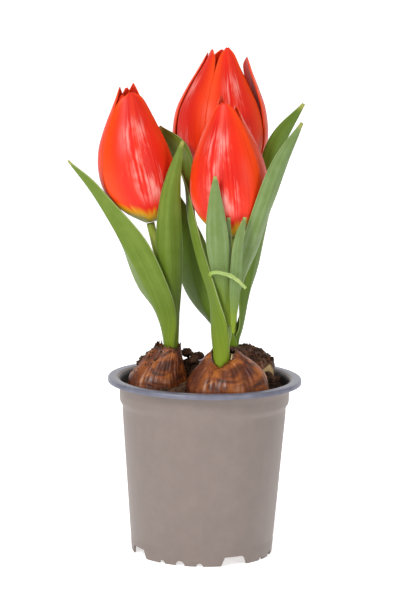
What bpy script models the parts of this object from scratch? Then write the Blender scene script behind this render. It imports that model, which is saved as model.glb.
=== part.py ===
"""Potted tulip: three closed red tulips grown from exposed bulbs in a 9 cm nursery pot.

The origin is the centre of the pot's base, +Z is up and the front of the plant looks along -Y.
Sizes are given in millimetres here and become metres through MM.
"""
import math

import bmesh
import bpy
import numpy as np
from mathutils import Matrix, Vector

MM = 0.001
MERGE = 0.00001
NAME = "potted_tulip"

# Pot
POT_HEIGHT = 82.5
RIM_RADIUS = 45.0
RIM_WIDTH = 4.2
RIM_DROP = 2.2
NECK_RADIUS = 39.4
WALL_TOP_RADIUS = 38.0
BASE_RADIUS = 32.8
WALL = 0.9
FLOOR = 1.0
FLOOR_Z = 3.2
BOSS_RADIUS = 12.2
NECK_DROP = 11.0
WALL_DROP = 16.5
FOOT_HEIGHT = 6.0
FOOT_STEP = 0.6
POT_SIDES = 44
NOTCH_TURN = -62.5
NOTCH_WIDTH = 14.0
NOTCH_HEIGHT = 4.2
NOTCH_SLANT = 2.0
NOTCH_DEPTH = 6.0
SMALL_NOTCHES = ((-16.0, 1.5), (0.0, 2.2), (16.0, 1.5))
DRAIN_RADIUS = 3.0
DRAIN_CIRCLE = 24.0
ROD_SIDES = 10
DRAIN_SIDES = 12

# Soil
GAP = 0.3
SOCKET_GAP = 0.45
SOIL_EDGE_Z = 76.0
SOIL_CROWN = 6.5
MOUND = (-6.0, 9.0)
MOUND_HEIGHT = 7.0
MOUND_SPREAD = 10.0
SOIL_RINGS = 8
SOIL_SIDES = 32

# Bulbs: middle, half widths, bottom, equator and top heights, the hole where the shoot comes out, and
# the notch in front of it. A shoulder runs from the equator to the hole as shares of the half width and
# of the height. A skew bulges the shoulder towards a direction
BULBS = {
    "left": dict(at=(-22.0, -3.5), half=(12.5, 12.7), z=(61.0, 80.0, 95.2), hole=(-15.2, -4.5), bore=4.45,
                 notch=0.0, skew=(0.0, 0.0), shoulder=[
                     (1.0, 0.0), (0.95, 0.18), (0.78, 0.44), (0.62, 0.71), (0.47, 0.93), (0.38, 1.0),
                     (0.0, 1.0)]),
    "front": dict(at=(9.8, -16.6), half=(17.4, 16.8), z=(57.0, 79.0, 97.6), hole=(7.6, -21.5), bore=4.5,
                  notch=13.0, skew=(0.0, 0.09), shoulder=[
                      (1.0, 0.0), (0.98, 0.18), (0.87, 0.42), (0.63, 0.70), (0.42, 0.87), (0.27, 0.96),
                      (0.0, 1.0)]),
    "back": dict(at=(18.2, 14.1), half=(13.3, 11.4), z=(60.0, 78.0, 93.0), hole=(13.0, 13.0), bore=4.45,
                 notch=0.0, skew=(-10.0, 0.06), shoulder=[
                     (1.0, 0.0), (0.98, 0.28), (0.90, 0.58), (0.72, 0.82), (0.50, 0.95), (0.36, 1.0),
                     (0.0, 1.0)]),
}
BULB_SIDES = 20
BULB_RINGS = 14
NOTCH_REACH = 7.0
NOTCH_FACING = math.radians(258)
NOTCH_HALF = math.radians(82)
SHOOT_DEPTH = 14.0
SHOOT_SIDES = 14

# The torn brown skins: the rows they cover, and how far the torn edge stands up round the shoot
TUNIC = 0.7
TUNIC_GAP = 0.9
TUNIC_ROWS = (3, 12)
TUNIC_TOP = {"left": 0.885, "front": 0.91, "back": 0.90}
COLLAR = {"left": 0.9, "front": -0.2, "back": 0.2}
COLLAR_START = 0.80

# Stems, and the height of the shoots' leaf bases inside the bulbs
STEM_RADIUS = 1.9
STEM_TAPER = 0.2
SHOOT_Z = 89.0
STEM_POINTS = {
    "left": [(-15.2, -4.5, 84), (-15.2, -4.5, 100), (-17.6, -4.4, 118), (-21.6, -4, 136), (-26.2, -2.5, 154.4)],
    "front": [(7.6, -21.5, 85), (7.6, -21.5, 100), (9.0, -19.7, 118), (11.3, -16, 135), (13.1, -13.0, 149.6)],
    "back": [(13.0, 13.0, 82), (13.0, 13.0, 100), (11.8, 14.6, 125), (9.4, 18.4, 150), (7.0, 22.4, 170.4)],
}

# Leaves. Those that clasp their stem have the plant's name, the radius at which they wrap it and the
# direction they open to. Stations: x, y, z, half width, facing of the inner side, keel and cup angles
BLADE = 0.65
WRAP = 92.0
WRAP_RISE = 8.0
INNER_WRAP = 2.55
OUTER_WRAP = 3.68
LEAF_ROWS = 13
LEAF_COLUMNS = 6
SMALL_LEAF_COLUMNS = 4
LEAVES = {
    "leaf_left_outer": (("left", OUTER_WRAP, 5), [
        (-21.2, -8.6, 111, 8.2, 42, 12, 54), (-26.6, -12.2, 124, 9.8, 50, 18, 22),
        (-38.4, -12.4, 145.3, 10.4, 36, 28, 16), (-52.0, -10.4, 167.4, 5.8, 10, 34, 10),
        (-64.2, -5, 182.4, 0.7, 0, 25, 5)]),
    "leaf_left_inner": (("left", INNER_WRAP, 155), [
        (-13.3, -7.2, 109, 4.4, 135, 10, 50), (-16.0, -9.8, 125, 6.0, 98, 16, 30),
        (-17.4, -14.2, 146, 7.0, 88, 20, 22), (-17.4, -18.5, 165, 5.6, 84, 22, 18),
        (-15.7, -18.5, 178, 3.6, 84, 22, 12), (-11.8, -15, 193.4, 0.7, 85, 15, 5)]),
    "leaf_front_long_left": (("front", OUTER_WRAP, 62), [
        (4.2, -25.4, 107, 6.5, 48, 8, 62), (1.2, -26.0, 124, 6.4, 14, 14, 18),
        (-4.6, -20, 141, 6.0, 5, 26, 14), (-8.9, -11, 158, 5.6, -5, 28, 12),
        (-10.6, -3, 173, 5.0, -35, 20, 10), (-13.9, 5, 187.6, 4.6, -88, 14, 10),
        (-22.8, 12, 197.4, 0.7, -105, 12, 5)]),
    "leaf_front_long_right": (("front", INNER_WRAP, 215), [
        (12.0, -19.0, 108, 5.4, 198, 12, 52), (15.2, -19.8, 126, 6.6, 154, 20, 32),
        (20.8, -22.8, 146, 6.0, 122, 24, 18), (27.0, -29.4, 168, 5.4, 126, 22, 12),
        (33.0, -27.6, 186, 4.2, 116, 22, 10), (41.8, -20, 203.0, 0.7, 110, 20, 5)]),
    "leaf_front_centre": (None, [
        (9.6, -26.0, 111, 1.8, 88, 5, 16), (8.2, -27.0, 122, 3.1, 86, 8, 18),
        (6.1, -29.9, 136, 4.2, 85, 12, 18), (4.5, -32.2, 150, 5.4, 86, 14, 14),
        (3.4, -34.0, 166, 3.6, 88, 14, 10), (3.0, -35.2, 179.8, 0.7, 90, 12, 5)]),
    "leaf_front_small": (None, [
        (12.4, -28.2, 108, 0.6, 100, 5, 14), (12.7, -29.2, 118, 1.7, 102, 8, 14),
        (13.2, -30.2, 131, 2.7, 105, 10, 14),
        (14.2, -30.4, 149, 2.4, 105, 12, 10), (16.8, -30.8, 161.2, 0.7, 105, 10, 5)]),
    "leaf_front_slim": (None, [
        (9.0, -24.2, 128, 1.0, 95, 5, 10), (9.5, -24.6, 144, 1.5, 95, 8, 10),
        (9.5, -29.8, 160.8, 0.7, 95, 8, 5)]),
    "leaf_front_curled": (None, [
        (1.5, -29.4, 134.2, 0.7, 80, 5, 12), (2.2, -31.8, 135.8, 0.8, 85, 5, 12),
        (5.2, -33.2, 136.4, 0.8, 90, 5, 12), (10.0, -34.4, 135.4, 0.8, 95, 5, 12),
        (14.2, -34.8, 133.0, 0.7, 100, 5, 12), (17.7, -34.6, 129.6, 0.6, 100, 5, 5)]),
    "leaf_back_left": (("back", OUTER_WRAP, 22), [
        (3.2, 9.4, 107, 6.6, 48, 10, 44), (-3.4, 8, 121, 9.2, 65, 14, 22),
        (-7.6, 7.4, 138, 9.0, 80, 16, 14), (-11.6, 7, 155, 5.2, 88, 14, 10), (-15.0, 7, 168, 0.7, 90, 12, 5)]),
    "leaf_back_right": (("back", INNER_WRAP, 190), [
        (17.8, 12.6, 106, 4.2, 184, 12, 44), (20.6, 7.0, 126, 5.6, 135, 18, 26),
        (23.6, 5.0, 148, 5.4, 118, 20, 18), (27.4, 5.4, 172, 5.2, 108, 20, 14),
        (32.0, 6, 192, 4.6, 105, 20, 10), (43.3, 5, 209.6, 0.7, 110, 15, 5)]),
}

# Blooms: foot, tip and sideways bow of the axis, and largest radius. Petals: azimuth, half angle, layer,
# length as a share of the bloom's, and splay of the tip
PETAL = 0.65
PETAL_LAYER = 1.5
PETAL_ROWS = 8
PETAL_COLUMNS = 5
PETAL_STEP = 0.03
SMALLEST_RADIUS = 1.2
PETAL_PROFILE = [
    (0.00, 0.19), (0.04, 0.42), (0.12, 0.74), (0.24, 0.95), (0.38, 1.00), (0.55, 0.91),
    (0.70, 0.71), (0.83, 0.50), (0.93, 0.35), (1.00, 0.27), (1.10, 0.20)]
PETAL_OUTLINE = [(0.0, 0.80), (0.2, 1.0), (0.6, 1.0), (0.8, 0.95), (0.92, 0.82), (0.97, 0.60), (1.0, 0.24)]
BLOOMS = {
    "left": dict(foot=(-26.2, -2.5, 155.0), tip=(-37.4, -2.0, 218.0), bow=-3.3, radius=18.3, petals=[
        (-75, 66, 0, 0.94, 0.0), (165, 57, 1, 0.985, 0.3), (45, 57, 1, 0.995, 0.0),
        (105, 54, 2, 0.97, 0.0), (225, 54, 2, 0.93, 0.0), (-15, 54, 2, 0.93, 0.0)]),
    "front": dict(foot=(13.1, -13.0, 150.2), tip=(7.6, -12.5, 212.6), bow=-0.8, radius=18.8, petals=[
        (-107, 67, 0, 0.98, 0.0), (145, 58, 1, 1.03, 0.0), (20, 58, 1, 0.94, 0.0),
        (80, 54, 2, 0.96, 0.0), (200, 54, 2, 0.98, 0.0), (-40, 54, 2, 0.92, 0.0)]),
    "back": dict(foot=(7.0, 22.5, 171.0), tip=(5.6, 23.8, 233.8), bow=-1.6, radius=21.9, petals=[
        (200, 57, 1, 0.985, 0.3), (12, 34, 0, 0.925, 4.4), (92, 42, 0, 0.98, 0.6),
        (-66, 42, 0, 1.00, 0.0), (60, 54, 1, 0.96, 0.0), (168, 29, 0, 0.96, 0.2)]),
}

# Colours: base colour, roughness, metallic
FINISHES = {
    "pot": ((0.27, 0.235, 0.215), 0.5, 0.0),
    "soil": ((0.025, 0.016, 0.011), 0.95, 0.0),
    "bulb": ((0.70, 0.56, 0.38), 0.5, 0.0),
    "tunic": ((0.22, 0.075, 0.03), 0.6, 0.0),
    "stem": ((0.25, 0.36, 0.10), 0.5, 0.0),
    "leaf": ((0.14, 0.30, 0.11), 0.5, 0.0),
    "petal": ((0.72, 0.035, 0.015), 0.4, 0.0),
}


def clear_scene():
    """Remove whatever the scene holds."""
    for item in list(bpy.data.objects):
        bpy.data.objects.remove(item, do_unlink=True)


def new_collection(name):
    """A collection linked to the scene."""
    collection = bpy.data.collections.new(name)
    bpy.context.scene.collection.children.link(collection)
    return collection


def material(kind):
    """The shared look of one kind of piece."""
    found = bpy.data.materials.get(kind)
    if found:
        return found
    colour, roughness, metallic = FINISHES[kind]
    made = bpy.data.materials.new(kind)
    made.use_nodes = True
    shader = made.node_tree.nodes["Principled BSDF"]
    shader.inputs["Base Color"].default_value = (*colour, 1.0)
    shader.inputs["Roughness"].default_value = roughness
    shader.inputs["Metallic"].default_value = metallic
    return made


def add_object(name, data, collection, kind=None):
    """Put mesh or curve data in a collection, with its material."""
    item = bpy.data.objects.new(name, data)
    collection.objects.link(item)
    if kind:
        data.materials.append(material(kind))
    return item


def mesh_from(shape, name):
    """Turn a bmesh into smooth-shaded mesh data, outward faces."""
    bmesh.ops.recalc_face_normals(shape, faces=shape.faces)
    mesh = bpy.data.meshes.new(name)
    shape.to_mesh(mesh)
    shape.free()
    mesh.shade_smooth()
    return mesh


def spline(points, count):
    """Points at even steps along a Catmull-Rom curve through the given rows of numbers."""
    rows = np.array(points, dtype=float)
    ends = np.vstack([2 * rows[0] - rows[1], rows, 2 * rows[-1] - rows[-2]])
    spans = len(rows) - 1
    out = []
    for step in np.linspace(0.0, spans, count):
        i = min(int(step), spans - 1)
        t = step - i
        a, b, c, d = ends[i:i + 4]
        out.append(0.5 * (2 * b + (c - a) * t + (2 * a - 5 * b + 4 * c - d) * t**2
                          + (3 * b - a - 3 * c + d) * t**3))
    return np.array(out)


def sheet_mesh(grid, name):
    """An open sheet over a grid of points, split into triangles."""
    rows, columns, _ = grid.shape
    shape = bmesh.new()
    verts = [[shape.verts.new(grid[i, j] * MM) for j in range(columns)] for i in range(rows)]
    for i in range(rows - 1):
        for j in range(columns - 1):
            shape.faces.new((verts[i][j], verts[i][j + 1], verts[i + 1][j + 1], verts[i + 1][j]))
    bmesh.ops.triangulate(shape, faces=shape.faces)
    bmesh.ops.remove_doubles(shape, verts=shape.verts, dist=MERGE)
    mesh = bpy.data.meshes.new(name)
    shape.to_mesh(mesh)
    shape.free()
    mesh.shade_smooth()
    return mesh


def add_sheet(grid, name, collection, kind, thickness, side):
    """A thin solid over a grid of points: a sheet that a Solidify modifier closes."""
    item = add_object(name, sheet_mesh(grid, name), collection, kind)
    solid = item.modifiers.new("Thickness", "SOLIDIFY")
    solid.thickness = thickness * MM
    solid.offset = side
    return item


def cut(item, cutter, name):
    """Cut one object out of another."""
    knife = item.modifiers.new(name, "BOOLEAN")
    knife.operation = "DIFFERENCE"
    knife.object = cutter
    knife.solver = "EXACT"


def add_cutter(name, mesh, collection):
    """A hidden body that cuts others."""
    item = add_object(name, mesh, collection)
    item.hide_render = True
    item.display_type = "WIRE"
    return item


def pot_profile():
    """Radius and height from the floor's middle, up the inside, over the rim and down the outside."""
    top = POT_HEIGHT
    bore = NECK_RADIUS - WALL
    inner = WALL_TOP_RADIUS - WALL
    lip = RIM_RADIUS - RIM_WIDTH
    skirt = RIM_RADIUS - WALL
    ring = BASE_RADIUS - WALL
    inside = [(0.0, FLOOR), (BOSS_RADIUS - 0.6, FLOOR), (BOSS_RADIUS + 1.8, FLOOR_Z + FLOOR),
              (BASE_RADIUS - 0.4, FLOOR_Z + FLOOR), (inner, top - WALL_DROP + 0.5),
              (inner + 0.2, top - NECK_DROP - 2.0), (bore, top - NECK_DROP + 0.5), (bore + 0.4, top - 2.6)]
    rim = [(lip, top), (RIM_RADIUS - 0.4, top), (RIM_RADIUS, top - 0.4), (RIM_RADIUS, top - RIM_DROP),
           (skirt, top - RIM_DROP), (skirt, top - 1.0), (lip + 0.2, top - 1.0)]
    outside = [(NECK_RADIUS + 0.4, top - 3.0), (NECK_RADIUS, top - NECK_DROP),
               (WALL_TOP_RADIUS + 0.1, top - NECK_DROP - 2.4), (WALL_TOP_RADIUS, top - WALL_DROP),
               (BASE_RADIUS + FOOT_STEP, FOOT_HEIGHT), (BASE_RADIUS, 0.0)]
    under = [(ring, 0.0), (ring + 0.2, FLOOR_Z), (BOSS_RADIUS + 1.6, FLOOR_Z), (BOSS_RADIUS, 0.0), (0.0, 0.0)]
    return inside + rim + outside + under


def screw_mesh(profile, steps, name, collection):
    """A full turn of a profile about Z, as an object with a Screw modifier."""
    mesh = bpy.data.meshes.new(name)
    points = [(r * MM, 0.0, z * MM) for r, z in profile]
    mesh.from_pydata(points, [(i, i + 1) for i in range(len(points) - 1)], [])
    item = add_object(name, mesh, collection)
    turn = item.modifiers.new("Turn", "SCREW")
    turn.steps = steps
    turn.render_steps = steps
    turn.use_merge_vertices = True
    turn.merge_threshold = MERGE
    turn.use_normal_calculate = True
    return item


def notch_cutters():
    """The four large notches, the small ones between them and the drain holes, as one mesh."""
    shape = bmesh.new()
    for quarter in range(4):
        middle = NOTCH_TURN + 90.0 * quarter
        add_wedge(shape, middle)
        for offset, radius in SMALL_NOTCHES:
            add_rod(shape, middle + 45.0 + offset, radius)
        add_drain(shape, middle + 45.0)
    return mesh_from(shape, "notches")


def swing(made, angle, x, z):
    """Move new geometry out along X and swing it to its angle about Z."""
    move = Matrix.Rotation(math.radians(angle), 4, "Z") @ Matrix.Translation((x * MM, 0.0, z * MM))
    for v in made["verts"]:
        v.co = move @ v.co


def add_wedge(shape, angle):
    """A trapezium notch, wider at the bottom."""
    made = bmesh.ops.create_cube(shape, size=1.0)
    for v in made["verts"]:
        upper = v.co.z > 0
        half = NOTCH_WIDTH / 2 - (NOTCH_SLANT if upper else 0.0)
        z = NOTCH_HEIGHT if upper else -1.0
        v.co = Vector((v.co.x * NOTCH_DEPTH, math.copysign(half, v.co.y), z)) * MM
    swing(made, angle, BASE_RADIUS - 0.4, 0.0)


def add_rod(shape, angle, radius):
    """A round notch: a rod lying across the foot ring, low enough to be cut by its top half."""
    made = bmesh.ops.create_cone(shape, cap_ends=True, segments=ROD_SIDES, radius1=radius * MM,
                                 radius2=radius * MM, depth=5.0 * MM)
    for v in made["verts"]:
        v.co = Vector((v.co.z, v.co.y, -v.co.x))
    swing(made, angle, BASE_RADIUS, 0.05)


def add_drain(shape, angle):
    """A round drain hole through the floor."""
    made = bmesh.ops.create_cone(shape, cap_ends=True, segments=DRAIN_SIDES, radius1=DRAIN_RADIUS * MM,
                                 radius2=DRAIN_RADIUS * MM, depth=6.0 * MM)
    swing(made, angle, DRAIN_CIRCLE, FLOOR_Z + FLOOR / 2)


def add_pot(parts, cutters):
    """The pot, turned and then notched."""
    pot = screw_mesh(pot_profile(), POT_SIDES, "pot", parts)
    pot.data.materials.append(material("pot"))
    cut(pot, add_cutter("pot_notches", notch_cutters(), cutters), "Notches")
    return pot


def bulb_point(bulb, angle, height, grow):
    """A point of a bulb's surface: angle round it, height from 0 at the base to 1 at the shoot."""
    low, middle, high = bulb["z"]
    if height < 0.5:
        tilt = math.pi * (0.5 - height)
        ring = math.cos(tilt) ** 0.85 if height > 0.001 else 0.0
        z = middle - math.sin(tilt) * (middle - low + grow)
        lean = 0.0
    else:
        knots = np.array(bulb["shoulder"])
        steps = np.linspace(0.0, 1.0, len(knots))
        ring = float(np.interp(2 * height - 1, steps, knots[:, 0]))
        z = middle + float(np.interp(2 * height - 1, steps, knots[:, 1])) * (high - middle + grow)
        lean = (1.0 - ring**2) ** 2
    swell = 1.0 + 0.03 * math.sin(3 * angle + 1.0) + 0.02 * math.sin(5 * angle + 4 * height)
    side, bulge = bulb["skew"]
    swell += 4 * ring * (1 - ring) * bulge * math.cos(angle - math.radians(side))
    x = bulb["at"][0] * (1 - lean) + bulb["hole"][0] * lean
    y = bulb["at"][1] * (1 - lean) + bulb["hole"][1] * lean
    x += (bulb["half"][0] + grow) * swell * ring * math.cos(angle)
    y += (bulb["half"][1] + grow) * swell * ring * math.sin(angle)
    away = math.hypot(x - bulb["hole"][0], y - bulb["hole"][1]) / NOTCH_REACH
    front = max(0.0, 1.0 - abs(math.remainder(angle - NOTCH_FACING, 2 * math.pi)) / NOTCH_HALF)
    if height > 0.5:
        z -= max(0.0, bulb["notch"] - grow) * front * math.exp(-away * away)
    return Vector((x, y, z))


def tunic_point(key, angle, height):
    """A point of a bulb's skin, whose torn edge stands up round the shoot."""
    point = bulb_point(BULBS[key], angle, height, TUNIC_GAP + TUNIC)
    ramp = max(0.0, (height - COLLAR_START) / (TUNIC_TOP[key] - COLLAR_START))
    point.z += ramp**2 * (COLLAR[key] + tear(key, angle))
    return point


def tear(key, angle):
    """How far the skin's torn edge stands up or down round the bulb; the front bulb has a point at its left."""
    wave = 0.45 * math.sin(3 * angle + 0.7) + 0.35 * math.sin(5 * angle + 2.1)
    if key == "front":
        away = abs(math.remainder(angle - math.pi, 2 * math.pi))
        wave += 1.3 * max(0.0, 1.0 - away / 0.5)
    return wave


def bulb_mesh(bulb, grow, name):
    """A closed bulb, grown outwards by some millimetres."""
    shape = bmesh.new()
    bmesh.ops.create_uvsphere(shape, u_segments=BULB_SIDES, v_segments=BULB_RINGS, radius=1.0)
    for v in shape.verts:
        angle = math.atan2(v.co.y, v.co.x)
        height = math.asin(max(-1.0, min(1.0, v.co.z))) / math.pi + 0.5
        v.co = bulb_point(bulb, angle, height, grow) * MM
    return mesh_from(shape, name)


def shoot_cutter(key, collection):
    """The hole where a bulb's shoot comes out."""
    bulb = BULBS[key]
    shape = bmesh.new()
    made = bmesh.ops.create_cone(shape, cap_ends=True, segments=SHOOT_SIDES, radius1=bulb["bore"] * MM,
                                 radius2=bulb["bore"] * MM, depth=2 * SHOOT_DEPTH * MM)
    for v in made["verts"]:
        v.co += Vector((*bulb["hole"], bulb["z"][2])) * MM
    return add_cutter("shoot_" + key, mesh_from(shape, "shoot_" + key), collection)


def add_bulb(key, parts, cutters):
    """One bulb's flesh and the torn skin over it."""
    shoot = shoot_cutter(key, cutters)
    flesh = add_object("bulb_" + key, bulb_mesh(BULBS[key], 0.0, "bulb_" + key), parts, "bulb")
    cut(flesh, shoot, "Shoot")
    first, last = TUNIC_ROWS
    heights = [k / BULB_RINGS for k in range(first, last + 1)] + [TUNIC_TOP[key]]
    grid = np.zeros((len(heights), BULB_SIDES + 1, 3))
    for i, height in enumerate(heights):
        for j in range(BULB_SIDES + 1):
            grid[i, j] = tunic_point(key, 2 * math.pi * j / BULB_SIDES, height)
    cut(add_sheet(grid, "tunic_" + key, parts, "tunic", TUNIC, -1.0), shoot, "Shoot")


def soil_height(x, y):
    """The soil's uneven surface, heaped in the middle and more behind the bulbs."""
    bore = NECK_RADIUS - WALL
    inside = max(0.0, 1.0 - math.hypot(x, y) / bore)
    bumps = 0.9 * math.sin(0.33 * x + 0.8) * math.cos(0.29 * y + 0.4) + 0.5 * math.sin(0.71 * x - 0.5 * y)
    away = math.hypot(x - MOUND[0], y - MOUND[1]) / MOUND_SPREAD
    mound = MOUND_HEIGHT * math.exp(-away * away)
    return SOIL_EDGE_Z + SOIL_CROWN * inside**0.6 + bumps * min(1.0, 3 * inside) + mound


def add_soil(parts, cutters):
    """The soil, turned to the pot's inside, heaped, then given a socket for each bulb."""
    bore = NECK_RADIUS - WALL
    inner = WALL_TOP_RADIUS - WALL - GAP
    bottom = FLOOR_Z + FLOOR + 0.4
    profile = [(r, 0.0) for r in np.linspace(0.0, bore - GAP, SOIL_RINGS + 1)]
    profile += [(bore - GAP, POT_HEIGHT - NECK_DROP + 1.4), (inner - 0.2, POT_HEIGHT - NECK_DROP - 2.0),
                (inner - 0.3, POT_HEIGHT - WALL_DROP - 1.5), (BASE_RADIUS - WALL, bottom),
                (BOSS_RADIUS + 2.2, bottom), (0.0, bottom)]
    shape = bmesh.new()
    verts = [shape.verts.new((r * MM, 0.0, z * MM)) for r, z in profile]
    edges = [shape.edges.new((a, b)) for a, b in zip(verts, verts[1:])]
    bmesh.ops.spin(shape, geom=verts + edges, axis=(0, 0, 1), cent=(0, 0, 0),
                   angle=2 * math.pi, steps=SOIL_SIDES, use_merge=True)
    bmesh.ops.remove_doubles(shape, verts=shape.verts, dist=MERGE)
    for v in shape.verts:
        if v.co.z == 0.0:
            v.co.z = soil_height(v.co.x / MM, v.co.y / MM) * MM
    soil = add_object("soil", mesh_from(shape, "soil"), parts, "soil")
    for key, bulb in BULBS.items():
        mesh = bulb_mesh(bulb, TUNIC_GAP + TUNIC + SOCKET_GAP, "socket_" + key)
        cut(soil, add_cutter("socket_" + key, mesh, cutters), "Socket " + key)


def add_stem(key, parts):
    """A round stem on a smooth curve through its points."""
    curve = bpy.data.curves.new("stem_" + key, "CURVE")
    curve.dimensions = "3D"
    curve.bevel_depth = STEM_RADIUS * MM
    curve.bevel_resolution = 2
    curve.use_fill_caps = True
    points = spline(STEM_POINTS[key], 9)
    line = curve.splines.new("POLY")
    line.points.add(len(points) - 1)
    for i, spot in enumerate(line.points):
        spot.co = (*(points[i] * MM), 1.0)
        spot.radius = 1.0 - STEM_TAPER * (1.0 - min(1.0, 3 * i / len(points)))
    add_object("stem_" + key, curve, parts, "stem")


def leaf_stations(name):
    """A leaf's stations, with its clasping base first where it has one."""
    clasp, stations = LEAVES[name]
    if not clasp:
        return stations
    plant, wrap, facing = clasp
    x = BULBS[plant]["hole"][0] - wrap * math.cos(math.radians(facing))
    y = BULBS[plant]["hole"][1] - wrap * math.sin(math.radians(facing))
    half = wrap * math.radians(WRAP)
    base = [(x, y, SHOOT_Z + rise, half, facing, 0.0, WRAP) for rise in (0.0, WRAP_RISE)]
    return base + stations


def leaf_grid(stations, rows, columns):
    """Points of a leaf: a midrib with a keeled and cupped section turned to its facing."""
    line = spline(stations, rows)
    along = np.gradient(line[:, :3], axis=0)
    grid = np.zeros((rows, columns + 1, 3))
    for i, (x, y, z, half, facing, keel, cup) in enumerate(line):
        tangent = along[i] / np.linalg.norm(along[i])
        face = math.radians(facing)
        inward = np.array([math.cos(face), math.sin(face), 0.0])
        inward -= tangent * inward.dot(tangent)
        inward /= np.linalg.norm(inward)
        across = np.cross(inward, tangent)
        for j in range(columns + 1):
            v = 2.0 * j / columns - 1.0
            out, rise = section(abs(v) * half, half, keel, cup)
            grid[i, j] = np.array([x, y, z]) + across * math.copysign(out, v) + inward * rise
    return grid


def section(reach, half, keel, cup):
    """Sideways run and rise of a leaf's half at some distance from its midrib."""
    start = math.radians(keel)
    bend = math.radians(max(cup, 1.0)) / max(half, 0.1)
    out = (math.sin(start + bend * reach) - math.sin(start)) / bend
    rise = (math.cos(start) - math.cos(start + bend * reach)) / bend
    return out, rise


def add_leaf(name, parts):
    """One leaf as a thin solid blade."""
    columns = LEAF_COLUMNS if LEAVES[name][0] else SMALL_LEAF_COLUMNS
    add_sheet(leaf_grid(leaf_stations(name), LEAF_ROWS, columns), name, parts, "leaf", BLADE, 0.0)


def petal_point(bloom, petal, s, t):
    """A point of a petal: s runs from its foot to its tip, t from -1 to 1 across it."""
    azimuth, half_angle, layer, length, splay = petal
    axis = Vector(bloom["tip"]) - Vector(bloom["foot"])
    tall = axis.length
    level = s * length
    radius = along_profile(level) * bloom["radius"]
    slope = (along_profile(level + PETAL_STEP) - along_profile(level - PETAL_STEP)) * bloom["radius"]
    rise = (level + PETAL_STEP - max(level - PETAL_STEP, 0.0)) * tall
    tilt = math.hypot(slope, rise)
    inset = layer * PETAL_LAYER
    radius = max(radius - inset * rise / tilt, SMALLEST_RADIUS) + splay * s**2
    z = level * tall + inset * max(slope, 0.0) / tilt
    outline = np.array(PETAL_OUTLINE)
    spread = half_angle * float(np.interp(s, outline[:, 0], outline[:, 1]))
    angle = math.radians(azimuth + t * spread)
    bow = bloom["bow"] * math.sin(math.pi * min(level, 1.0))
    local = Vector((radius * math.cos(angle) + bow, radius * math.sin(angle), z))
    turn = Vector((0.0, 0.0, 1.0)).rotation_difference(axis)
    return Vector(bloom["foot"]) + turn @ local


def along_profile(level):
    """A bloom's radius at some share of its height, as a share of its largest radius."""
    profile = np.array(PETAL_PROFILE)
    return float(np.interp(level, profile[:, 0], profile[:, 1]))


def add_petal(key, number, parts):
    """One petal as a thin solid blade."""
    bloom = BLOOMS[key]
    petal = bloom["petals"][number]
    grid = np.zeros((PETAL_ROWS + 1, PETAL_COLUMNS + 1, 3))
    for i in range(PETAL_ROWS + 1):
        s = i / PETAL_ROWS
        for j in range(PETAL_COLUMNS + 1):
            grid[i, j] = petal_point(bloom, petal, s, 2.0 * j / PETAL_COLUMNS - 1.0)
    name = "petal_%s_%d" % (key, number + 1)
    add_sheet(grid, name, parts, "petal", PETAL, -1.0)


def main():
    clear_scene()
    parts = new_collection(NAME)
    cutters = new_collection("cutters")
    add_pot(parts, cutters)
    add_soil(parts, cutters)
    for key in BULBS:
        add_bulb(key, parts, cutters)
        add_stem(key, parts)
    for name in LEAVES:
        add_leaf(name, parts)
    for key in BLOOMS:
        for number in range(len(BLOOMS[key]["petals"])):
            add_petal(key, number, parts)


main()
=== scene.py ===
import math

import bmesh
import bpy
import numpy as np
from mathutils import Matrix, Vector, noise


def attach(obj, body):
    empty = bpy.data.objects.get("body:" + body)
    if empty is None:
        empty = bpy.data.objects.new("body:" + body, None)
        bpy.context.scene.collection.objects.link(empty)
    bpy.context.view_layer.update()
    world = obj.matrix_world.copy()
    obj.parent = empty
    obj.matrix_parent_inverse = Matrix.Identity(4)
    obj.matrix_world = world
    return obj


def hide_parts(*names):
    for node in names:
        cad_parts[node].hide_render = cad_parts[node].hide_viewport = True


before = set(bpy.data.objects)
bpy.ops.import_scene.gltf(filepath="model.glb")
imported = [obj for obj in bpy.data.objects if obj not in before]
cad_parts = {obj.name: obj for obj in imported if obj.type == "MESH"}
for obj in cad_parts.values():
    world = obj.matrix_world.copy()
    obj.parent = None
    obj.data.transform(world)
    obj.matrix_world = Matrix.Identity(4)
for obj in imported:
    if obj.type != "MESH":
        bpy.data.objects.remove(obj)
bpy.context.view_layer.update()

# Potted tulip: three closed red tulips on exposed bulbs in a nursery pot.
# Sizes are in millimetres and become metres through MM. The shapes repeat the solids' own named values.
MM = 0.001
WELD_DISTANCE = 0.005 * MM
CURVE_POINTS = 240

# Pot, with the notches in its foot ring and the drain holes in its floor
POT_HEIGHT = 82.5
RIM_RADIUS = 45.0
RIM_WIDTH = 4.2
RIM_DROP = 2.2
NECK_RADIUS = 39.4
WALL_TOP_RADIUS = 38.0
BASE_RADIUS = 32.8
WALL = 0.9
FLOOR_Z = 3.2
BOSS_RADIUS = 12.2
POT_SIDES = 160
NOTCH_TURN = -62.5
NOTCH_WIDTH = 14.0
NOTCH_HEIGHT = 4.2
SMALL_NOTCHES = ((-16.0, 1.5), (0.0, 2.2), (16.0, 1.5))
DRAIN_RADIUS = 3.0
DRAIN_CIRCLE = 24.0

# Soil: gaps to the pot and the bulbs, height of the edge and the crown, and a mound behind the bulbs
GAP = 0.3
SOCKET_GAP = 0.45
SOIL_EDGE_Z = 76.0
SOIL_CROWN = 6.5
MOUND = (-6.0, 9.0)
MOUND_HEIGHT = 7.0
MOUND_SPREAD = 10.0
SOIL_RINGS = 60
SOIL_SIDES = 180

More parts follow.
